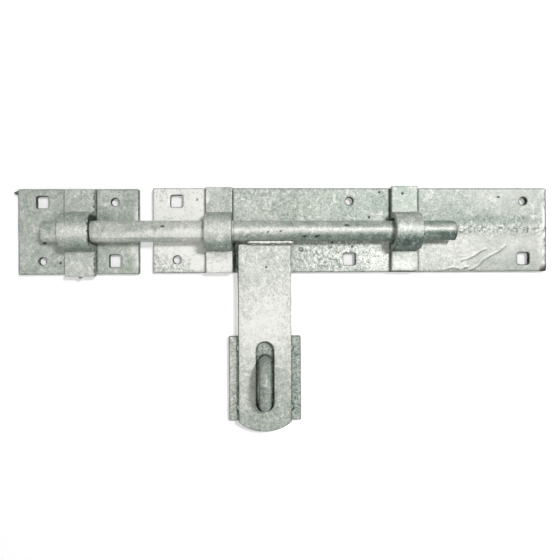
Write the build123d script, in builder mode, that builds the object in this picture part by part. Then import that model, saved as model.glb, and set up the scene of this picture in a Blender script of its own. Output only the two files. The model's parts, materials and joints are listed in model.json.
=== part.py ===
from build123d import *
import os

os.makedirs("parts", exist_ok=True)

# The door face is the plane y = 0, everything stands out from it towards -Y, and +Z is up the door.
# The origin is the middle of the main plate's back face.

# Plates
plate_thickness = 6
plate_height = 80
main_plate_length = 375
keep_plate_length = 112
keep_plate_gap = 12.5
keep_plate_drop = 1
staple_plate_width = 68
plate_corner = 1.2
plate_edge_break = 0.6

# Fixing holes
screw_hole_diameter = 7
square_hole_side = 11
square_hole_corner = 1
hole_row_margin = 12.5
hole_end_margin = 22.5
middle_hole_shift = 2.5
staple_hole_diameter = 8
staple_hole_side_margin = 11.5
staple_hole_end_margin = 12

# Round bolt
rod_diameter = 20
rod_length = 380
rod_plate_gap = 0.4
rod_drop = 1.8
rod_end_chamfer = 2
rod_end_inset = 26.2

# Bent straps over the rod
strap_thickness = 6
guide_strap_width = 25
keep_strap_width = 28
strap_rod_gap = 1.5
strap_bend = 4
left_strap_inset = 62.5
right_strap_inset = 138.5
keep_strap_shift = 2.5
right_strap_lift = 1
keep_strap_top_inset = 1
keep_strap_overhang = 2

# Hasp arm
hasp_width = 50
hasp_thickness = 6
hasp_length = 175.5
hasp_strap_gap = 4.5
hasp_rod_gap = 1.4
hasp_tip_radius = 38
hasp_top_corner = 2
hasp_edge_break = 0.5
slot_clearance = 4
slot_length = 64.8
slot_end_margin = 19.2

# Weld bead between the hasp arm and the rod
weld_length = 43
weld_overrun = 2.5
weld_radius = 2.5
weld_inset = 0.9
weld_rise = 1.5

# Staple
loop_bar_diameter = 12
loop_height = 51
loop_reach = 36
loop_end_margin = 0.8
leg_hole_clearance = 0.1
staple_plate_lift = 3.7

# Zinc run on the keep plate's corner
zinc_spike_length = 4.8
zinc_spike_root = 2.8
zinc_spike_tip = 0.7
zinc_spike_drop = 3.4

# Places that follow from the sizes
plate_front = -plate_thickness
plate_top = plate_height / 2
plate_end = main_plate_length / 2
hole_row_z = plate_top - hole_row_margin
main_hole_x = plate_end - hole_end_margin
rod_radius = rod_diameter / 2
rod_y = plate_front - rod_plate_gap - rod_radius
rod_z = -rod_drop
strap_inner = rod_radius + strap_rod_gap
strap_outer = strap_inner + strap_thickness
strap_front = plate_front - strap_thickness
left_strap_x = -plate_end + left_strap_inset
right_strap_x = plate_end - right_strap_inset
keep_x = -plate_end - keep_plate_gap - keep_plate_length / 2
keep_strap_x = keep_x + keep_strap_shift
keep_hole_x = keep_plate_length / 2 - hole_end_margin
rod_left = keep_x - keep_plate_length / 2 + rod_end_inset
keep_top = plate_top - keep_plate_drop
keep_bottom = -plate_top - keep_plate_drop
hasp_x = left_strap_x + guide_strap_width / 2 + hasp_strap_gap + hasp_width / 2
hasp_back = plate_front - rod_plate_gap
hasp_front = hasp_back - hasp_thickness
hasp_top = rod_z - rod_radius - hasp_rod_gap
hasp_tip = hasp_top - hasp_length
slot_width = loop_bar_diameter + slot_clearance
slot_z = hasp_tip + slot_end_margin + slot_length / 2
loop_bottom = hasp_tip + slot_end_margin + loop_end_margin
loop_z = loop_bottom + loop_height / 2
loop_bend = (loop_height - loop_bar_diameter) / 2
loop_bend_y = plate_front - loop_reach + loop_bar_diameter / 2 + loop_bend
staple_plate_z = loop_z + staple_plate_lift
staple_hole_pitch_x = staple_plate_width - 2 * staple_hole_side_margin
staple_hole_pitch_z = plate_height - 2 * staple_hole_end_margin

# Main plate, three round and three square holes in two rows
with BuildPart() as main_plate:
    with BuildSketch(Plane.XZ):
        RectangleRounded(main_plate_length, plate_height, plate_corner)
    extrude(amount=plate_thickness)
    chamfer(main_plate.faces().sort_by(Axis.Y)[0].edges(), plate_edge_break)
    with BuildSketch(Plane.XZ):
        with Locations(
            (-main_hole_x, -hole_row_z),
            (-middle_hole_shift, hole_row_z),
            (main_hole_x, hole_row_z),
        ):
            Circle(screw_hole_diameter / 2)
        with Locations(
            (-main_hole_x, hole_row_z),
            (-middle_hole_shift, -hole_row_z),
            (main_hole_x, -hole_row_z),
        ):
            RectangleRounded(square_hole_side, square_hole_side, square_hole_corner)
    extrude(amount=plate_thickness, mode=Mode.SUBTRACT)
main_plate.part.label = "main_plate"
export_step(main_plate.part, "parts/main_plate.step")

# Keep plate, with the run of zinc that froze on its corner
with BuildPart() as keep_plate:
    with BuildSketch(Plane.XZ):
        with Locations((keep_x, -keep_plate_drop)):
            RectangleRounded(keep_plate_length, plate_height, plate_corner)
    extrude(amount=plate_thickness)
    chamfer(keep_plate.faces().sort_by(Axis.Y)[0].edges(), plate_edge_break)
    with BuildSketch(Plane.XZ):
        with Locations(
            (keep_x + keep_hole_x, hole_row_z - keep_plate_drop),
            (keep_x - keep_hole_x, -hole_row_z - keep_plate_drop),
        ):
            Circle(screw_hole_diameter / 2)
        with Locations(
            (keep_x - keep_hole_x, hole_row_z - keep_plate_drop),
            (keep_x + keep_hole_x, -hole_row_z - keep_plate_drop),
        ):
            RectangleRounded(square_hole_side, square_hole_side, square_hole_corner)
    extrude(amount=plate_thickness, mode=Mode.SUBTRACT)
    spike_plane = Plane(
        origin=(keep_x - keep_plate_length / 2, -plate_thickness / 2, keep_top - zinc_spike_drop),
        x_dir=(0, 1, 0),
        z_dir=(-1, 0, 0),
    )
    with BuildSketch(spike_plane.offset(-plate_edge_break)):
        Circle(zinc_spike_root)
    with BuildSketch(spike_plane.offset(zinc_spike_length)):
        Circle(zinc_spike_tip)
    loft()
keep_plate.part.label = "keep_plate"
export_step(keep_plate.part, "parts/keep_plate.step")


def bent_strap(strap_x, strap_width, top_z, bottom_z):
    """A flat bar bent over the rod, with a flat foot above and below on the plate."""
    with BuildPart() as strap:
        with BuildSketch(Plane.YZ.offset(strap_x - strap_width / 2)) as omega:
            with Locations((rod_y, rod_z)):
                Circle(strap_outer)
            with Locations(((rod_y + plate_front) / 2, rod_z)):
                Rectangle(plate_front - rod_y, 2 * strap_outer)
            with Locations(((strap_front + plate_front) / 2, (top_z + bottom_z) / 2)):
                Rectangle(strap_thickness, top_z - bottom_z)
            with Locations((rod_y, rod_z)):
                Circle(strap_inner, mode=Mode.SUBTRACT)
            with Locations(((rod_y + plate_front) / 2, rod_z)):
                Rectangle(plate_front - rod_y, 2 * strap_inner, mode=Mode.SUBTRACT)
            with Locations((plate_front + strap_outer, rod_z)):
                Rectangle(2 * strap_outer, 2 * strap_outer, mode=Mode.SUBTRACT)
            root_corners = [v for v in omega.vertices() if abs(abs(v.Z - rod_z) - strap_outer) < 0.01]
            fillet([v for v in root_corners if abs(v.Y - strap_front) < 0.01], strap_bend)
            heel_corners = [v for v in omega.vertices() if abs(abs(v.Z - rod_z) - strap_inner) < 0.01]
            fillet([v for v in heel_corners if abs(v.Y - plate_front) < 0.01], strap_bend + strap_thickness)
        extrude(amount=strap_width)
    return strap


# Left and right guide straps on the main plate
left_guide_strap = bent_strap(left_strap_x, guide_strap_width, plate_top, -plate_top)
left_guide_strap.part.label = "left_guide_strap"
export_step(left_guide_strap.part, "parts/left_guide_strap.step")

right_guide_strap = bent_strap(
    right_strap_x, guide_strap_width, plate_top + right_strap_lift, -plate_top + right_strap_lift
)
right_guide_strap.part.label = "right_guide_strap"
export_step(right_guide_strap.part, "parts/right_guide_strap.step")

# Keep strap on the keep plate
keep_strap = bent_strap(
    keep_strap_x, keep_strap_width, keep_top - keep_strap_top_inset, keep_bottom - keep_strap_overhang
)
keep_strap.part.label = "keep_strap"
export_step(keep_strap.part, "parts/keep_strap.step")

# Round bolt
with BuildPart() as bolt_rod:
    with BuildSketch(Plane.YZ.offset(rod_left)):
        with Locations((rod_y, rod_z)):
            Circle(rod_radius)
    extrude(amount=rod_length)
    chamfer(bolt_rod.edges().filter_by(GeomType.CIRCLE), rod_end_chamfer)
bolt_rod.part.label = "bolt_rod"
export_step(bolt_rod.part, "parts/bolt_rod.step")

# Hasp arm, a flat bar with a long slot and a round tip
with BuildPart() as hasp_arm:
    with BuildSketch(Plane.XZ.offset(-hasp_back)):
        with BuildLine():
            tip_rise = hasp_tip_radius - (hasp_tip_radius**2 - (hasp_width / 2) ** 2) ** 0.5
            Polyline(
                (hasp_x - hasp_width / 2, hasp_tip + tip_rise),
                (hasp_x - hasp_width / 2, hasp_top),
                (hasp_x + hasp_width / 2, hasp_top),
                (hasp_x + hasp_width / 2, hasp_tip + tip_rise),
            )
            ThreePointArc(
                (hasp_x + hasp_width / 2, hasp_tip + tip_rise),
                (hasp_x, hasp_tip),
                (hasp_x - hasp_width / 2, hasp_tip + tip_rise),
            )
        make_face()
        with Locations((hasp_x, slot_z)):
            SlotOverall(slot_length, slot_width, rotation=90, mode=Mode.SUBTRACT)
    extrude(amount=hasp_thickness)
    fillet(hasp_arm.edges().filter_by(Axis.Y).group_by(Axis.Z)[-1], hasp_top_corner)
    chamfer(hasp_arm.faces().sort_by(Axis.Y)[0].edges(), hasp_edge_break)
hasp_arm.part.label = "hasp_arm"
export_step(hasp_arm.part, "parts/hasp_arm.step")

# Weld bead, a roll of metal in the corner between the rod and the hasp arm
with BuildPart() as hasp_weld:
    weld_start = hasp_x + hasp_width / 2 + weld_overrun - weld_length
    weld_y = hasp_front + weld_inset
    weld_z = hasp_top + weld_rise
    weld_end = weld_start + weld_length
    with BuildSketch(Plane.XZ.offset(-weld_y)):
        with BuildLine():
            Polyline(
                (weld_start, weld_z),
                (weld_start + weld_radius, weld_z + weld_radius),
                (weld_end - weld_radius, weld_z + weld_radius),
                (weld_end, weld_z),
                (weld_start, weld_z),
            )
        make_face()
    revolve(axis=Axis((weld_start, weld_y, weld_z), (1, 0, 0)))
    add(bolt_rod.part, mode=Mode.SUBTRACT)
    add(hasp_arm.part, mode=Mode.SUBTRACT)
hasp_weld.part.label = "hasp_weld"
export_step(hasp_weld.part, "parts/hasp_weld.step")

# Staple plate, with four screw holes and two holes for the loop's legs
with BuildPart() as staple_plate:
    with BuildSketch(Plane.XZ):
        with Locations((hasp_x, staple_plate_z)):
            RectangleRounded(staple_plate_width, plate_height, plate_corner)
    extrude(amount=plate_thickness)
    chamfer(staple_plate.faces().sort_by(Axis.Y)[0].edges(), plate_edge_break)
    with BuildSketch(Plane.XZ):
        with Locations((hasp_x, staple_plate_z)):
            with GridLocations(staple_hole_pitch_x, staple_hole_pitch_z, 2, 2):
                Circle(staple_hole_diameter / 2)
        with Locations((hasp_x, loop_z - loop_bend), (hasp_x, loop_z + loop_bend)):
            Circle(loop_bar_diameter / 2 + leg_hole_clearance)
    extrude(amount=plate_thickness, mode=Mode.SUBTRACT)
staple_plate.part.label = "staple_plate"
export_step(staple_plate.part, "parts/staple_plate.step")

# Staple loop, a round bar bent to a U, its legs flush with the back of the plate
with BuildPart() as staple_loop:
    with BuildSketch(Plane.XZ):
        with Locations((hasp_x, loop_z - loop_bend), (hasp_x, loop_z + loop_bend)):
            Circle(loop_bar_diameter / 2)
    extrude(amount=-loop_bend_y)
    with BuildSketch(Plane.XZ.offset(-loop_bend_y)):
        with Locations((hasp_x, loop_z + loop_bend)):
            Circle(loop_bar_diameter / 2)
    revolve(axis=Axis((hasp_x, loop_bend_y, loop_z), (1, 0, 0)), revolution_arc=180)
staple_loop.part.label = "staple_loop"
export_step(staple_loop.part, "parts/staple_loop.step")
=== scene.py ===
import json
import math

import bmesh
import bpy
import numpy as np
from mathutils import Matrix, Vector, noise
from mathutils.bvhtree import BVHTree


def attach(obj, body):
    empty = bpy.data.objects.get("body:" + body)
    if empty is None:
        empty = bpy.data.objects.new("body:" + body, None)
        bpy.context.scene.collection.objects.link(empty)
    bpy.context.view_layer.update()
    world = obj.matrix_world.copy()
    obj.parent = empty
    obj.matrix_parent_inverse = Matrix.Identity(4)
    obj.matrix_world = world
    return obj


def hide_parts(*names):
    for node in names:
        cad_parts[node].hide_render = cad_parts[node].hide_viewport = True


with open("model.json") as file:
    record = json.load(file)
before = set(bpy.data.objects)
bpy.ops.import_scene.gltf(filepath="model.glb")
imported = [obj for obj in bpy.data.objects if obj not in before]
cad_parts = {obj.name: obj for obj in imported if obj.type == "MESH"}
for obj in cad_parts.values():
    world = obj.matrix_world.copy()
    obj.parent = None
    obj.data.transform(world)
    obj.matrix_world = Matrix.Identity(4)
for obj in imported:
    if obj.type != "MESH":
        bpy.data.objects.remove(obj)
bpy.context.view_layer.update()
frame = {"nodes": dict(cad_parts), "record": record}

MM = 0.001
BODY_OF = {n: b for b, ns in frame["record"]["behaviour"]["bodies"].items() for n in ns}

# Camera, fitted to the plate corners of the photograph, in millimetres and degrees
CAMERA_PLACE = (-85.8, -529.6, -46.8)
CAMERA_YAW = -1.90
CAMERA_PITCH = -0.02
CAMERA_ROLL = 0.29
FOCAL_PIXELS = 554.9
FRAME_PIXELS = 560
SENSOR = 36.0
NEAREST = 0.01


def srgb(red, green, blue):
    """A colour written as 0 to 255 display values, as linear RGBA."""
    channels = [c / 255 for c in (red, green, blue)]
    return tuple(c / 12.92 if c <= 0.04045 else ((c + 0.055) / 1.055) ** 2.4 for c in channels) + (1.0,)


def smoothstep(low, high, value):
    """0 up to low, 1 from high on. With the larger number first it falls instead of rising."""
    t = np.clip((value - low) / (high - low), 0.0, 1.0)
    return t * t * (3 - 2 * t)


def lumps(points, size, seed):
    """Smooth noise, about -1 to 1, at points in millimetres, with lumps of about the given size."""
    shift = Vector((seed * 17.3, seed * 5.1, seed * 9.7))
    return np.array([noise.noise(Vector(p) / size + shift) for p in points])


def bell(distance, width, power=2):
    """1 at no distance, almost 0 at twice the width. A higher power makes its top flatter."""
    return np.exp(-((distance / width) ** power))


def blob(x, z, spot):
    """A soft round patch: spot is its x, z, half width, half height and amount."""
    spot_x, spot_z, half_width, half_height, amount = spot
    return amount * np.exp(-(((x - spot_x) / half_width) ** 2) - ((z - spot_z) / half_height) ** 2)


# Materials


def add_noise(tree, coords, scale, detail, rough, twist):
    node = tree.nodes.new("ShaderNodeTexNoise")
    node.inputs["Scale"].default_value = scale
    node.inputs["Detail"].default_value = detail
    node.inputs["Roughness"].default_value = rough
    node.inputs["Distortion"].default_value = twist
    tree.links.new(coords, node.inputs["Vector"])
    return node.outputs["Fac"]


def add_math(tree, operation, first, second=0.0):
    node = tree.nodes.new("ShaderNodeMath")
    node.operation = operation
    for socket, value in zip(node.inputs, (first, second)):
        if isinstance(value, (int, float)):
            socket.default_value = value
        else:
            tree.links.new(value, socket)
    return node.outputs[0]


def add_step(tree, value, low, high):
    """0 below low, 1 above high."""
    node = tree.nodes.new("ShaderNodeMapRange")
    node.inputs["From Min"].default_value = low
    node.inputs["From Max"].default_value = high
    tree.links.new(value, node.inputs["Value"])
    return node.outputs["Result"]


def add_mix(tree, factor, first, second):
    """The first colour, covered by the fixed second one as far as the factor says."""
    node = tree.nodes.new("ShaderNodeMix")
    node.data_type = "RGBA"
    tree.links.new(factor, node.inputs["Factor"])
    tree.links.new(first, node.inputs["A"])
    node.inputs["B"].default_value = second
    return node.outputs["Result"]


def add_attribute(tree, name):
    node = tree.nodes.new("ShaderNodeAttribute")
    node.attribute_name = name
    return node.outputs["Fac"]


def seen_directly(tree):
    """1 for what the camera sees, also in a reflection or through glass, 0 for light on the object."""
    ray = tree.nodes.new("ShaderNodeLightPath")
    seen = add_math(tree, "MAXIMUM", ray.outputs["Is Camera Ray"], ray.outputs["Is Glossy Ray"])
    return add_math(tree, "MAXIMUM", seen, ray.outputs["Is Transmission Ray"])


# Noise patterns of the zinc: scale, detail, roughness, twist
CLOUDS = (60, 4, 0.6, 1.2)
MOTTLE = (300, 4, 0.65, 0.6)
SPECKLE = (750, 2, 0.8, 0.0)
WISPS = (110, 5, 0.7, 2.5)
WISP_STEP = (0.54, 0.68)
# How much each pattern moves the tone, all but the clouds in step with the grain
CLOUD_SHARE = 0.5
WISP_SHARE = 0.8
MOTTLE_SHARE = 1.9
SPECKLE_SHARE = 2.1
METALLIC = 0.12
SPECULAR_LEVEL = 0.5
ROUGHNESS = 0.42
MOTTLE_ROUGHNESS = 0.4
DIRT_AND_SHADE_ROUGHNESS = 0.5
BUMP_STRENGTH = 0.8
BUMP_HEIGHT = 0.25 * MM
SPECKLE_BUMP = 0.4
# The dirt colour darkens dirt and painted shade alike, the pit colour pits and painted shadow lines alike
DIRT_AND_SHADE_COLOUR = srgb(34, 48, 40)
PIT_AND_SHADE_COLOUR = srgb(26, 30, 26)
RUST_COLOUR = srgb(42, 33, 16)
# The colour at each tone
ZINC_TONES = (
    (0.0, (52, 66, 60)),
    (0.25, (106, 125, 115)),
    (0.5, (170, 180, 169)),
    (0.75, (214, 217, 209)),
    (1.0, (252, 252, 246)),
)


def zinc_material():
    """Hot-dip zinc: a grey-green ground, mottled at three sizes, whiter where it froze bright."""
    material = bpy.data.materials.new("galvanised_zinc")
    material.use_nodes = True
    tree = material.node_tree
    shader = tree.nodes["Principled BSDF"]
    coords = tree.nodes.new("ShaderNodeTexCoord").outputs["Object"]
    tone = add_attribute(tree, "tone")
    grain = add_attribute(tree, "grain")
    clouds = add_math(tree, "SUBTRACT", add_noise(tree, coords, *CLOUDS), 0.5)
    mottle = add_math(tree, "SUBTRACT", add_noise(tree, coords, *MOTTLE), 0.5)
    speckle = add_math(tree, "SUBTRACT", add_noise(tree, coords, *SPECKLE), 0.5)
    wisps = add_step(tree, add_noise(tree, coords, *WISPS), *WISP_STEP)
    level = add_math(tree, "ADD", tone, add_math(tree, "MULTIPLY", clouds, CLOUD_SHARE))
    for pattern, share in ((wisps, WISP_SHARE), (mottle, MOTTLE_SHARE), (speckle, SPECKLE_SHARE)):
        grained = add_math(tree, "MULTIPLY", pattern, grain)
        level = add_math(tree, "ADD", level, add_math(tree, "MULTIPLY", grained, share))
    ramp = tree.nodes.new("ShaderNodeValToRGB")
    stops = ramp.color_ramp.elements
    stops[0].position, stops[0].color = ZINC_TONES[0][0], srgb(*ZINC_TONES[0][1])
    stops[1].position, stops[1].color = ZINC_TONES[-1][0], srgb(*ZINC_TONES[-1][1])
    for place, colour in ZINC_TONES[1:-1]:
        stops.new(place).color = srgb(*colour)
    tree.links.new(level, ramp.inputs["Fac"])
    edge = add_attribute(tree, "edge")
    pit_and_shade = add_attribute(tree, "pit_and_shade")
    # Dark edges hold dirt and painted shade, pits also hold painted shadow lines
    dirt_and_shade = add_mix(tree, edge, ramp.outputs["Color"], DIRT_AND_SHADE_COLOUR)
    pitted_and_shaded = add_mix(tree, pit_and_shade, dirt_and_shade, PIT_AND_SHADE_COLOUR)
    rusted = add_mix(tree, add_attribute(tree, "rust"), pitted_and_shaded, RUST_COLOUR)
    tree.links.new(rusted, shader.inputs["Base Color"])
    shader.inputs["Metallic"].default_value = METALLIC
    shader.inputs["Specular IOR Level"].default_value = SPECULAR_LEVEL
    dull = add_math(tree, "MAXIMUM", edge, pit_and_shade)
    rough = add_math(tree, "ADD", ROUGHNESS, add_math(tree, "MULTIPLY", mottle, MOTTLE_ROUGHNESS))
    rough = add_math(tree, "ADD", rough, add_math(tree, "MULTIPLY", dull, DIRT_AND_SHADE_ROUGHNESS))
    tree.links.new(rough, shader.inputs["Roughness"])
    height = add_math(tree, "ADD", mottle, add_math(tree, "MULTIPLY", speckle, SPECKLE_BUMP))
    bump = tree.nodes.new("ShaderNodeBump")
    bump.inputs["Strength"].default_value = BUMP_STRENGTH
    bump.inputs["Distance"].default_value = BUMP_HEIGHT
    tree.links.new(height, bump.inputs["Height"])
    tree.links.new(bump.outputs["Normal"], shader.inputs["Normal"])
    return material


ZINC = zinc_material()


# Coated pieces, each a fine skin made from its solid

SMOOTH_FACTOR = 0.5
SMOOTH_ROUNDS = 3


def skin_of(node, voxel):
    """A closed fine mesh of a solid with softened edges, as zinc leaves them."""
    mesh = frame["nodes"][node].data.copy()
    shell = bmesh.new()
    shell.from_mesh(mesh)
    bmesh.ops.remove_doubles(shell, verts=shell.verts, dist=1e-6)
    shell.to_mesh(mesh)
    shell.free()
    mesh.materials.clear()
    piece = bpy.data.objects.new("zinc_" + node, mesh)
    bpy.context.scene.collection.objects.link(piece)
    remesh = piece.modifiers.new("skin", "REMESH")
    remesh.mode = "VOXEL"
    remesh.voxel_size = voxel * MM
    smooth = piece.modifiers.new("soften", "SMOOTH")
    smooth.factor = SMOOTH_FACTOR
    smooth.iterations = SMOOTH_ROUNDS
    bpy.context.view_layer.update()
    depsgraph = bpy.context.evaluated_depsgraph_get()
    fine = bpy.data.meshes.new_from_object(piece.evaluated_get(depsgraph))
    piece.modifiers.clear()
    piece.data = fine
    return piece


def solid_tree(node):
    mesh = frame["nodes"][node].data
    return BVHTree.FromPolygons([v.co for v in mesh.vertices], [p.vertices for p in mesh.polygons])


def read_points(mesh):
    places = np.empty(len(mesh.vertices) * 3)
    mesh.vertices.foreach_get("co", places)
    normals = np.empty(len(mesh.vertices) * 3)
    mesh.vertex_normals.foreach_get("vector", normals)
    return places.reshape(-1, 3) / MM, normals.reshape(-1, 3)


def write_field(mesh, name, values):
    field = mesh.attributes.new(name, "FLOAT", "POINT")
    field.data.foreach_set("value", np.clip(values, 0.0, 1.0).astype(np.float32))


def finish_piece(piece, node, places, tone, grain, edge, pit_and_shade, rust):
    """Writes the moved points and the paint fields, and ties the piece to the frame."""
    mesh = piece.data
    mesh.vertices.foreach_set("co", (places * MM).ravel())
    for name, values in (("tone", tone), ("grain", grain), ("edge", edge), ("pit_and_shade", pit_and_shade), ("rust", rust)):
        write_field(mesh, name, values)
    mesh.shade_smooth()
    mesh.materials.append(ZINC)
    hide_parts(node)
    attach(piece, BODY_OF[node])


# Broad patches of lighter and darker tone: x, z, half width, half height, change of tone
# On the bar and across the middle of the straps' arches they brighten or dim a painted highlight
PATCHES = {
    "main_plate": (
        (-165, 15, 40, 40, 0.7),
        (-165, -32, 28, 16, 0.14),
        (-40, 28, 70, 20, -0.07),
        (25, 28, 22, 20, -0.08),
        (-5, -25, 45, 16, 0.06),
        (28, -28, 18, 18, 0.18),
        (95, 22, 70, 18, -0.14),
        (130, 30, 40, 14, 0.02),
        (85, -22, 36, 16, 0.11),
        (140, -20, 40, 10, 0.04),
        (140, 9, 60, 5, -0.14),
        (150, -35, 40, 8, -0.1),
        (183, -10, 4, 40, 0.14),
    ),
    "keep_plate": (
        (-222, -22, 18, 18, 0.06),
        (-295, 0, 30, 60, 0.03),
        (-225, 30, 14, 12, 0.08),
        (-202.5, 14, 2.5, 10, 0.3),
        (-205, -19, 5, 5, 0.25),
        (-201.5, -30, 2.5, 8, 0.3),
        (-231, 14, 4, 4, -0.12),
        (-216, 2, 12, 20, -0.05),
    ),
    "left_guide_strap": ((-125, -34, 20, 9, 0.36), (-125, -1.8, 30, 12, 0.14), (-136.5, 29, 1.8, 7, 0.35)),
    "right_guide_strap": ((49, 33, 20, 12, -0.08), (49, 0, 20, 12, 0.08), (49, -34, 20, 9, 0.26)),
    "keep_strap": ((-253, -36, 20, 9, 0.12), (-253, 0, 20, 13, 0.26), (-253, 32, 20, 9, 0.04)),
    "hasp_arm": (
        (-83, -45, 60, 45, 0.19),
        (-83, -92, 34, 30, 0.37),
        (-83, -130, 40, 26, 0.12),
        (-83, -182, 40, 14, -0.08),
        (-101, -150, 9, 26, 0.12),
    ),
    "staple_plate": ((-116, -140, 6, 50, 0.28), (-50, -140, 6, 50, -0.06)),
    "bolt_rod": (
        (-60, 0, 260, 60, 0.18),
        (-225, -3, 50, 30, 0.17),
        (-142, -4, 36, 30, 0.2),
        (40, 0, 70, 30, -0.06),
        (86, 0, 18, 30, -0.12),
    ),
    "staple_loop": (),
    "hasp_weld": (),
}
BASE_TONE = {
    "main_plate": 0.58,
    "keep_plate": 0.53,
    "left_guide_strap": 0.64,
    "right_guide_strap": 0.58,
    "keep_strap": 0.60,
    "hasp_arm": 0.56,
    "staple_plate": 0.44,
    "bolt_rod": 0.62,
    # The loop is set darker, partly as painted shade, and the weld at full tone as a painted highlight on the
    # bead
    "staple_loop": 0.43,
    "hasp_weld": 1.0,
}
GRAIN = {
    "main_plate": 0.45,
    "keep_plate": 0.3,
    "left_guide_strap": 0.4,
    "right_guide_strap": 0.4,
    "keep_strap": 0.35,
    "hasp_arm": 0.38,
    "staple_plate": 0.5,
    "bolt_rod": 0.35,
    "staple_loop": 0.35,
    "hasp_weld": 0.5,
}
# Small dark pits in the front: x, z, radius, stretch along x
PITS = {
    "main_plate": (
        (-146.1, 28.8, 0.9, 1.0),
        (-18.9, -11.6, 1.2, 1.0),
        (0.1, -15.7, 1.1, 1.0),
        (16.6, 12.3, 1.3, 0.8),
        (141.0, 31.2, 0.9, 1.6),
        (26.3, 36.0, 0.9, 1.3),
    ),
    "keep_plate": ((-273.0, -30.1, 1.1, 1.0), (-287.5, -11.5, 1.2, 1.6)),
    "right_guide_strap": ((46.9, 33.9, 1.0, 1.0),),
    "bolt_rod": (
        (-175.0, 2.2, 0.9, 2.4),
        (-80.0, -3.4, 0.9, 1.2),
        (-68.1, -2.7, 1.0, 1.0),
        (-46.3, -7.5, 1.0, 2.2),
        (-35.2, -7.6, 1.0, 2.2),
        (-7.7, 3.2, 0.9, 2.6),
    ),
    "hasp_arm": ((-81.5, -34.9, 1.0, 1.0),),
}
PIT_DARKNESS = 0.95
# Size of the mesh of each skin, in millimetres
VOXELS = {
    "main_plate": 0.9,
    "keep_plate": 0.8,
    "bolt_rod": 0.9,
    "hasp_arm": 0.75,
    "staple_plate": 0.7,
    "hasp_weld": 0.35,
}
FINE_VOXEL = 0.65
# How far a skin may stand out from its solid, in millimetres
ROOM = {"main_plate": 0.9, "keep_strap": 1.8, "hasp_weld": 1.2, "hasp_arm": 0.6, "bolt_rod": 1.1}
COMMON_ROOM = 0.3
# Painted shade beside another solid, in millimetres: how far it is looked for, what counts as none, its width
CREVICE_SEARCH = 6
CREVICE_NONE = 9.0
CREVICE_REACH = {"bolt_rod": 1.5}
COMMON_REACH = 0.8
BESIDE_SLOPES = (0.8, 0.97)
# Painted shade under and over the round forms: loss of tone, and the slopes between which it sets in
ROUND_SHADE = {
    "bolt_rod": (0.46, 0.0, 0.55, 0.26, 0.1, 0.55),
    "left_guide_strap": (0.34, 0.1, 0.9, 0.26, 0.3, 0.9),
    "right_guide_strap": (0.48, 0.0, 0.6, 0.2, 0.3, 0.95),
    "keep_strap": (0.3, 0.05, 0.7, 0.28, 0.1, 0.7),
}
TREES = {n: solid_tree(n) for n in PATCHES}
# Dirt and painted shade on the left and right side faces of the straps, and the slopes between which a side
# begins
SIDE_DIRT_AND_SHADE = {
    "left_guide_strap": (0.4, 0.9),
    "right_guide_strap": (0.2, 0.6),
    "keep_strap": (0.4, 0.5),
}
SIDE_SLOPES = (0.35, 0.9)
# Dirt and painted shade on the rims of the flat bars, less of it on their sheer outer sides
FLAT_NODES = ("main_plate", "keep_plate", "staple_plate", "hasp_arm")
RIM_SLOPES = (0.8, 0.999)
SHEER_SLOPES = (0.5, 0.2)
OUTLINE_SHARE = (0.95, 0.98)
SHEER_RELIEF = 0.5


def crevice_shade(node, places, normals):
    """Painted shade: 1 in contact with another solid beside the point, 0 a few millimetres away from it or
    under it.
    """
    width = CREVICE_REACH.get(node, COMMON_REACH)
    dirt_and_shade = np.zeros(len(places))
    for other, tree in TREES.items():
        if other == node or {node, other} == {"bolt_rod", "hasp_weld"}:
            continue
        hits = [tree.find_nearest(Vector(p) * MM, CREVICE_SEARCH * MM) for p in places]
        near = np.array([CREVICE_NONE if hit[3] is None else hit[3] / MM for hit in hits])
        spots = np.array([p if hit[0] is None else hit[0] / MM for p, hit in zip(places, hits)])
        facing = np.abs(((spots - places) * normals).sum(axis=1)) / np.maximum(near, 0.01)
        beside = 1 - smoothstep(*BESIDE_SLOPES, facing)
        dirt_and_shade = np.maximum(dirt_and_shade, beside * bell(near, width))
    return dirt_and_shade


def middle_share(values):
    """0 halfway along a piece, 1 at both of its ends."""
    return np.abs(2 * values - values.min() - values.max()) / np.ptp(values)


def side_dirt_and_shade(node, x, z, normals):
    """Dirt and painted shade on the rims of the flat bars and on the side faces of the straps."""
    if node in FLAT_NODES:
        flat = np.abs(normals[:, 1])
        reach = np.maximum(middle_share(x), middle_share(z))
        sheer = smoothstep(*SHEER_SLOPES, flat) * smoothstep(*OUTLINE_SHARE, reach)
        return (1 - smoothstep(*RIM_SLOPES, flat)) * (1 - SHEER_RELIEF * sheer)
    if node in SIDE_DIRT_AND_SHADE:
        left, right = SIDE_DIRT_AND_SHADE[node]
        facing = normals[:, 0]
        return left * smoothstep(*SIDE_SLOPES, -facing) + right * smoothstep(*SIDE_SLOPES, facing)
    return np.zeros(len(x))


def round_shade(node, x, z, normals):
    """Painted shade under and on top of a round form. The painted shade turns round it along x."""
    under, under_low, under_high, top, top_low, top_high = ROUND_SHADE[node]
    up = normals[:, 2]
    line = 0.0
    if node == "bolt_rod":
        # The lean moves the painted shade, and the lit band between, up or down along the bar
        lean = 0.34 * smoothstep(-95, -150, x) + 0.3 * smoothstep(-185, -225, x) - 0.2 * smoothstep(30, 80, x)
        # Left of the left strap the bar gets less painted shade underneath, and a thin painted shade line
        pale = smoothstep(-125, -140, x)
        under = under * (1 - 0.3 * pale - 0.3 * blob(x, z, (-80, -8, 25, 40, 1)))
        line = 0.2 * bell(up + 0.72, 0.07) * pale
    else:
        lean = 0.15 * smoothstep(-150, -240, x)
    below = under * smoothstep(under_low, under_high, -up - lean)
    return line + below + top * smoothstep(top_low, top_high, up + lean)


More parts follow.
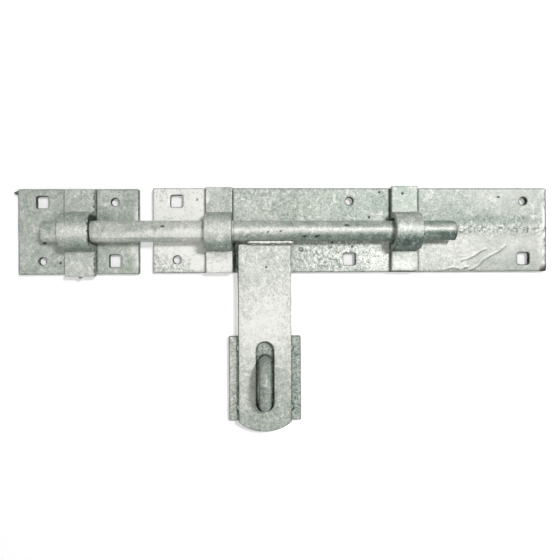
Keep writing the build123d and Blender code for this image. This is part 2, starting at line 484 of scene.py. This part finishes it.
def coat(node, seed):
    """The common coat: small lumps, broad patches, dark edges of dirt and painted shade, painted shade under
    round forms and in crevices, and pits.
    """
    piece = skin_of(node, VOXELS.get(node, FINE_VOXEL))
    places, normals = read_points(piece.data)
    x, z = places[:, 0], places[:, 2]
    tone = np.full(len(x), BASE_TONE[node])
    for spot in PATCHES[node]:
        tone += blob(x, z, spot)
    grain = np.full(len(x), GRAIN[node])
    edge = side_dirt_and_shade(node, x, z, normals)
    # Painted shade under and over the round forms
    if node in ROUND_SHADE:
        tone = tone - round_shade(node, x, z, normals)
    pit_and_shade = np.zeros(len(x))
    for px, pz, radius, stretch in PITS.get(node, ()):
        near = np.hypot((x - px) / stretch, z - pz)
        pit_and_shade = np.maximum(pit_and_shade, 1 - smoothstep(0.6 * radius, 1.4 * radius, near))
    pit_and_shade = pit_and_shade * smoothstep(0.3, -0.2, normals[:, 1])
    rust = np.zeros(len(x))
    broad = lumps(places, 14.0, seed)
    small = lumps(places, 4.0, seed + 3)
    depth = -0.12 + 0.10 * broad + 0.05 * small - 0.25 * pit_and_shade
    if node == "hasp_weld":
        return piece, places, normals, depth, tone, grain, edge, pit_and_shade, rust
    # Painted shade where another solid stands close beside, laid on the dark edges
    edge = np.maximum(edge * (0.9 + 0.3 * small), (0.85 + 0.3 * small) * crevice_shade(node, places, normals))
    return piece, places, normals, depth, tone, grain, edge, pit_and_shade * PIT_DARKNESS, rust


def dress(node, seed, extra=None):
    """Coats one piece, adds its own marks, and hands it to the frame."""
    piece, places, normals, depth, tone, grain, edge, pit_and_shade, rust = coat(node, seed)
    if extra is not None:
        depth, tone, grain, edge, pit_and_shade, rust = extra(places, normals, depth, tone, grain, edge, pit_and_shade, rust)
    moved = places + normals * np.minimum(depth, ROOM.get(node, COMMON_ROOM))[:, None]
    finish_piece(piece, node, moved, tone, grain, edge, pit_and_shade, rust)


# Marks of single pieces, placed in millimetres as in the frame

WRINKLES = (
    (
        (112.9, -38.3),
        (118.5, -35.6),
        (122.8, -32.7),
        (126.0, -28.6),
        (129.6, -26.5),
        (136.4, -22.8),
        (141.0, -20.4),
        (147.7, -15.2),
    ),
    ((105.5, -28.9), (112.0, -27.0), (118.0, -24.0), (124.5, -19.6), (129.0, -18.3)),
    ((88.0, -38.0), (96.0, -35.5), (104.0, -37.0), (111.0, -35.0)),
)
WRINKLE_WIDTH = 0.7
RIPPLE_LENGTH = 5.5
# Rougher, duller spots beside the left holes, and the loss of tone in each
DULL_SPOTS = (((-180, 36, 16, 8, 1), 0.06), ((-176, -36, 22, 10, 1), 0.10))
# Painted shade on the plate beside the gap: x, z, half width, half height, amount
GAP_SHADE = (-111.2, -27, 1.6, 15, 1)
FAR = 99.0


def path_distance(x, z, path):
    """How far each point lies from a line of straight steps."""
    line = np.full(len(x), FAR)
    for (ax, az), (bx, bz) in zip(path, path[1:]):
        length = math.hypot(bx - ax, bz - az)
        t = np.clip(((x - ax) * (bx - ax) + (z - az) * (bz - az)) / length**2, 0, 1)
        line = np.minimum(line, np.hypot(x - ax - t * (bx - ax), z - az - t * (bz - az)))
    return line


def main_plate_marks(places, normals, depth, tone, grain, edge, pit_and_shade, rust):
    """The ridge with painted shade above it, wrinkles with painted highlight and shade, bright end, stain,
    painted shadow in the gap, ring, dark lines, warmer half and rusty corner.
    """
    x, z = places[:, 0], places[:, 2]
    front = smoothstep(0.2, 0.8, -normals[:, 1])
    # The rough ridge in line with the bar, and a band of painted shade above it
    along = smoothstep(97, 104, x)
    rough = lumps(places, 2.2, 21) + 0.5 * lumps(places, 1.1, 22)
    ridge = along * bell(z - 0.5 - 1.2 * lumps(places, 9, 23), 4.0) * front
    depth = depth + ridge * (0.35 + 0.5 * rough)
    tone = tone + ridge * (0.38 * rough - 0.04)
    grain = grain + ridge * 0.5
    upper = along * bell(z - 9.5, 5.0) * front
    tone = tone - 0.06 * upper
    # Thin raised wrinkles, each with a painted highlight on it and a painted shade line below
    wrinkle = np.zeros(len(x))
    for path in WRINKLES:
        wrinkle = np.maximum(wrinkle, bell(path_distance(x, z, path), WRINKLE_WIDTH) * front)
        shade = bell(path_distance(x + 0.5, z + 1.0, path), WRINKLE_WIDTH) * front
        tone = tone - 0.35 * shade
    depth = depth + 0.45 * wrinkle
    tone = tone + 0.12 * wrinkle
    speckled = np.exp(-(((x + 5) / 50) ** 4) - ((z + 26) / 14) ** 2) * front
    grain = grain + 0.5 * speckled
    # The ragged bright right-hand end, with a dark rim and notches, and the line beside the strap
    end = smoothstep(183.2, 184.8, x) * front
    ragged = smoothstep(-0.3, 0.2, lumps(places, 5, 25)) * end
    tone = tone + 0.5 * ragged
    depth = depth + 0.3 * ragged
    rim_dirt = 0.95 * smoothstep(0.1, 0.4, -normals[:, 1])
    edge = np.maximum(edge, rim_dirt * smoothstep(185.9, 186.7, x + 0.5 * lumps(places, 3, 28)))
    edge = np.maximum(edge, 0.6 * bell(x - 63.6, 0.6) * front)
    notches = smoothstep(0.25, 0.5, lumps(places, 2.6, 29)) * smoothstep(184.2, 186, x) * front
    pit_and_shade = np.maximum(pit_and_shade, 0.7 * notches)
    # The pale round stain with a dark rim on its left
    from_stain = np.hypot(x + 144, z + 31)
    stain = bell(from_stain, 9, 6) * front
    tone = tone + 0.2 * stain
    grain = grain - 0.3 * stain
    rim = bell(from_stain - 9.6, 0.7) * front
    tone = tone - 0.14 * rim * smoothstep(-138, -146, x)
    # The smoother and warmer right half
    grain = grain - smoothstep(100, 130, x) * (0.25 * smoothstep(-2, -8, z) + 0.12 * smoothstep(12, 18, z))
    rust = smoothstep(40, 80, x) * (0.18 + 0.02 * smoothstep(2, -4, z))
    tone = tone + smoothstep(55, 95, x) * (0.06 + 0.05 * smoothstep(2, -4, z))
    for spot, loss in DULL_SPOTS:
        grain = grain + 0.4 * blob(x, z, spot)
        tone = tone - loss * blob(x, z, spot)
    # Painted shadow in the gap between the left strap and the arm, and a small ring
    jagged = 0.85 + 0.35 * lumps(places, 2.5, 27)
    gap_shadow = bell(x + 111.1 + 0.5 * lumps(places, 3.5, 30), 1.15, 4)
    gap_shadow = gap_shadow * smoothstep(-9, -12, z) * smoothstep(-41, -39, z) * front
    pit_and_shade = np.maximum(pit_and_shade, gap_shadow * jagged)
    tone = tone - 0.6 * blob(x, z, GAP_SHADE) * front
    ring = bell(np.hypot(x + 48.7, z + 18.2) - 1.5, 0.5) * front
    pit_and_shade = np.maximum(pit_and_shade, 0.9 * ring)
    corner = smoothstep(10.5, 5.5, np.hypot((x - 187.5) * 1.1, z + 40) + 2 * lumps(places, 4, 26))
    rust = np.maximum(rust, corner * 0.97)
    return depth, tone, grain, edge, pit_and_shade, rust


def keep_plate_marks(places, normals, depth, tone, grain, edge, pit_and_shade, rust):
    """The run of zinc on the corner is dark at its tip."""
    x = places[:, 0]
    pit_and_shade = np.maximum(pit_and_shade, 0.8 * smoothstep(-313.0, -316.5, x))
    return depth, tone, grain, edge, pit_and_shade, rust


def keep_strap_marks(places, normals, depth, tone, grain, edge, pit_and_shade, rust):
    """A ragged line of painted shade down the right-hand edge, painted shade on the right-facing side of the
    arch, and a drip at the bottom.
    """
    x, z = places[:, 0], places[:, 2]
    ragged = smoothstep(-0.3, 0.25, lumps(places, 2.5, 31)) * smoothstep(-241.4, -240.2, x)
    pit_and_shade = np.maximum(pit_and_shade, 0.85 * ragged * smoothstep(0.1, 0.5, -normals[:, 1]))
    drip = bell(x + 253.7, 1.1) * smoothstep(0.5, 0.9, -normals[:, 2]) * smoothstep(-42.0, -42.6, z)
    pit_and_shade = np.maximum(pit_and_shade, 0.6 * drip)
    # Painted shade on the right-facing side of the arch
    inner = smoothstep(*SIDE_SLOPES, normals[:, 0]) * smoothstep(16, 12, np.abs(z))
    return depth + 2.0 * drip, tone, grain, np.maximum(edge, inner), pit_and_shade, rust


def weld_marks(places, normals, depth, tone, grain, edge, pit_and_shade, rust):
    """The bead froze in uneven ripples, with painted highlights on the crests and a painted shade line along
    its foot.
    """
    x, z = places[:, 0], places[:, 2]
    wave = np.sin(x * 2 * math.pi / RIPPLE_LENGTH + 1.5 * lumps(places, 6.0, 41))
    ripple = wave + 0.6 * lumps(places, 2.0, 42)
    proud = smoothstep(0.1, 0.6, -normals[:, 1])
    # A painted shade line along the foot of the bead
    under = bell(z + 13.0 + 0.35 * lumps(places, 5.0, 43), 0.55)
    pit_and_shade = np.maximum(pit_and_shade, 0.9 * under)
    # Brighter ripple crests: painted highlight
    tone = tone + 0.1 * ripple - 0.25 * smoothstep(-13.0, -13.4, z)
    rise = smoothstep(0.1, 0.6, normals[:, 2])
    return depth + 0.3 * ripple + 0.8 * proud + rise, tone, grain, edge, pit_and_shade, rust


def hasp_marks(places, normals, depth, tone, grain, edge, pit_and_shade, rust):
    """A ragged line of painted shade under the weld, and a thicker coat on the left edge above."""
    x, z = places[:, 0], places[:, 2]
    reach = smoothstep(-101, -98, x) * smoothstep(-56, -58, x)
    line = bell(z + 13.8 + 0.35 * lumps(places, 5.0, 51), 0.5 + 0.3 * lumps(places, 3.0, 52))
    left = smoothstep(0.6, 0.95, -normals[:, 0]) * smoothstep(-60, -30, z)
    return depth + 0.6 * left, tone, grain, edge, np.maximum(pit_and_shade, 0.9 * line * reach), rust


def loop_marks(places, normals, depth, tone, grain, edge, pit_and_shade, rust):
    """The bar of the loop is drawn thinner towards its foot, with painted shade down both sides and a painted
    shadow at its tip.
    """
    x, y, z = places.T
    front = smoothstep(-14, -20, y)
    foot = smoothstep(-142, -168, z) * front
    middle = x.mean()
    # This moves the points themselves, because x is a view of their places
    x -= (x - middle - 0.6) * 0.16 * foot
    edge = np.maximum(edge, 0.6 * smoothstep(0.7, 0.93, np.abs(normals[:, 0])) * smoothstep(-166, -154, z))
    tip = bell(x - middle - 0.8, 1.8) * smoothstep(-166.8, -168.0, z) * front
    pit_and_shade = np.maximum(pit_and_shade, 0.85 * tip)
    tone = tone + 0.08 * blob(x, z, (-84, -128, 2.5, 9, 1)) - 0.06 * smoothstep(-150, -165, z)
    return depth, tone, grain, edge, pit_and_shade, rust


def rod_marks(places, normals, depth, tone, grain, edge, pit_and_shade, rust):
    """The bar is worn thinner towards its tail, bitten by the weld, and a little longer, with painted shade
    on its end.
    """
    x = places[:, 0]
    tail = np.maximum(smoothstep(-130, 95, x), 0.6 * smoothstep(-125, -100, x))
    bitten = smoothstep(-101, -98, x) * smoothstep(-54, -57, x) * smoothstep(0.55, 0.85, -normals[:, 2])
    end = smoothstep(0.5, 0.9, normals[:, 0]) * smoothstep(85, 92, x)
    depth = depth - tail * (0.8 - 0.5 * normals[:, 2]) * (1 - end) - 1.1 * bitten + 1.1 * end
    return depth, tone, grain, np.maximum(edge, 0.6 * end), pit_and_shade, rust


MARKS = {
    "main_plate": main_plate_marks,
    "keep_plate": keep_plate_marks,
    "keep_strap": keep_strap_marks,
    "bolt_rod": rod_marks,
    "hasp_weld": weld_marks,
    "staple_loop": loop_marks,
    "hasp_arm": hasp_marks,
}
for seed, name in enumerate(PATCHES, start=1):
    dress(name, seed, MARKS.get(name))


# Stage: a white wall just behind the plates, open from behind, and a pale floor

WALL_HALF = 4.0
WALL_GAP = 0.0004
FLOOR_DROP = -0.42
WALL_PAINT, WALL_GLOW = 0.88, 0.4
FLOOR_PAINT, FLOOR_GLOW = 0.6, 0.62
# The wall right behind the fixed plates shows only through their holes and gets painted shade there:
# x, z, half width, half height
COVERED = ((0.0, 0.0, 0.184, 0.0365), (-0.256, -0.001, 0.0525, 0.0365))
COVERED_SHADE = 0.35


def covered_share(tree):
    """1 on the wall right behind a fixed plate, 0 beside it."""
    place = tree.nodes.new("ShaderNodeSeparateXYZ")
    tree.links.new(tree.nodes.new("ShaderNodeNewGeometry").outputs["Position"], place.inputs[0])
    total = 0.0
    for x, z, half_width, half_height in COVERED:
        across = add_math(tree, "ABSOLUTE", add_math(tree, "SUBTRACT", place.outputs["X"], x))
        up = add_math(tree, "ABSOLUTE", add_math(tree, "SUBTRACT", place.outputs["Z"], z))
        across = add_math(tree, "LESS_THAN", across, half_width)
        up = add_math(tree, "LESS_THAN", up, half_height)
        total = add_math(tree, "ADD", add_math(tree, "MULTIPLY", across, up), total)
    return total


def stage_material(name, see_through, paint, glow_strength):
    """White to the camera, with the soft shadows of the object kept, and painted shade behind the fixed
    plates. The wall is clear from behind.
    """
    material = bpy.data.materials.new(name)
    material.use_nodes = True
    tree = material.node_tree
    tree.nodes.remove(tree.nodes["Principled BSDF"])
    output = tree.nodes["Material Output"]
    lit = tree.nodes.new("ShaderNodeBsdfDiffuse")
    lit.inputs["Color"].default_value = (paint, paint, paint, 1)
    glow = tree.nodes.new("ShaderNodeEmission")
    level = add_math(tree, "MULTIPLY", seen_directly(tree), glow_strength)
    if see_through:
        shade = add_math(tree, "MULTIPLY", covered_share(tree), COVERED_SHADE)
        level = add_math(tree, "MULTIPLY", level, add_math(tree, "SUBTRACT", 1.0, shade))
    tree.links.new(level, glow.inputs["Strength"])
    both = tree.nodes.new("ShaderNodeAddShader")
    tree.links.new(lit.outputs[0], both.inputs[0])
    tree.links.new(glow.outputs[0], both.inputs[1])
    surface = both.outputs[0]
    if see_through:
        clear = tree.nodes.new("ShaderNodeBsdfTransparent")
        sides = tree.nodes.new("ShaderNodeMixShader")
        geometry = tree.nodes.new("ShaderNodeNewGeometry")
        tree.links.new(geometry.outputs["Backfacing"], sides.inputs["Fac"])
        tree.links.new(surface, sides.inputs[1])
        tree.links.new(clear.outputs[0], sides.inputs[2])
        surface = sides.outputs[0]
    tree.links.new(surface, output.inputs["Surface"])
    return material


def stage_plane(name, corners, material):
    mesh = bpy.data.meshes.new(name)
    mesh.from_pydata(corners, [], [(0, 1, 2, 3)])
    mesh.materials.append(material)
    plane = bpy.data.objects.new(name, mesh)
    bpy.context.scene.collection.objects.link(plane)
    return plane


wall = stage_plane(
    "stage_wall",
    [
        (-WALL_HALF, WALL_GAP, FLOOR_DROP),
        (WALL_HALF, WALL_GAP, FLOOR_DROP),
        (WALL_HALF, WALL_GAP, WALL_HALF),
        (-WALL_HALF, WALL_GAP, WALL_HALF),
    ],
    stage_material("stage_white_wall", True, WALL_PAINT, WALL_GLOW),
)
wall.visible_shadow = False
stage_plane(
    "stage_floor",
    [
        (-WALL_HALF, -WALL_HALF, FLOOR_DROP),
        (WALL_HALF, -WALL_HALF, FLOOR_DROP),
        (WALL_HALF, WALL_HALF, FLOOR_DROP),
        (-WALL_HALF, WALL_HALF, FLOOR_DROP),
    ],
    stage_material("stage_white_floor", False, FLOOR_PAINT, FLOOR_GLOW),
)


# Light

# Lamps: name, place, width and power
LAMPS = (
    ("key_light", (0.80, -2.20, 0.60), 0.42, 34),
    ("fill_light", (-0.95, -2.10, -0.45), 0.7, 7.2),
    ("back_light", (0.2, 1.6, 0.7), 1.2, 16),
)
MIDDLE = (-0.06, 0.0, -0.05)
AMBIENT = 0.04


def area_light(name, place, size, power):
    """A square lamp, aimed at the middle of the set."""
    lamp = bpy.data.lights.new(name, "AREA")
    lamp.shape = "SQUARE"
    lamp.size = size
    lamp.energy = power
    holder = bpy.data.objects.new(name, lamp)
    bpy.context.scene.collection.objects.link(holder)
    aim = (Vector(MIDDLE) - Vector(place)).to_track_quat("-Z", "Y")
    holder.matrix_world = Matrix.Translation(place) @ aim.to_matrix().to_4x4()


for lamp_setting in LAMPS:
    area_light(*lamp_setting)

world = bpy.data.worlds.new("studio")
bpy.context.scene.world = world
world.use_nodes = True
sky = world.node_tree.nodes["Background"]
sky.inputs["Color"].default_value = (1, 1, 1, 1)
shown = add_math(world.node_tree, "MULTIPLY", seen_directly(world.node_tree), 1 - AMBIENT)
world.node_tree.links.new(add_math(world.node_tree, "ADD", shown, AMBIENT), sky.inputs["Strength"])


# Camera

lens = bpy.data.cameras.new("camera")
lens.sensor_width = SENSOR
lens.sensor_fit = "HORIZONTAL"
lens.lens = SENSOR * FOCAL_PIXELS / FRAME_PIXELS
lens.clip_start = NEAREST
camera = bpy.data.objects.new("camera", lens)
bpy.context.scene.collection.objects.link(camera)
turn = (
    Matrix.Rotation(math.radians(CAMERA_YAW), 4, "Z")
    @ Matrix.Rotation(math.radians(CAMERA_PITCH), 4, "X")
    @ Matrix.Rotation(math.radians(CAMERA_ROLL), 4, "Y")
)
camera.matrix_world = (
    Matrix.Translation(Vector(CAMERA_PLACE) * MM) @ turn @ Matrix.Rotation(math.radians(90), 4, "X")
)
bpy.context.scene.camera = camera
bpy.context.scene.view_settings.view_transform = "Standard"
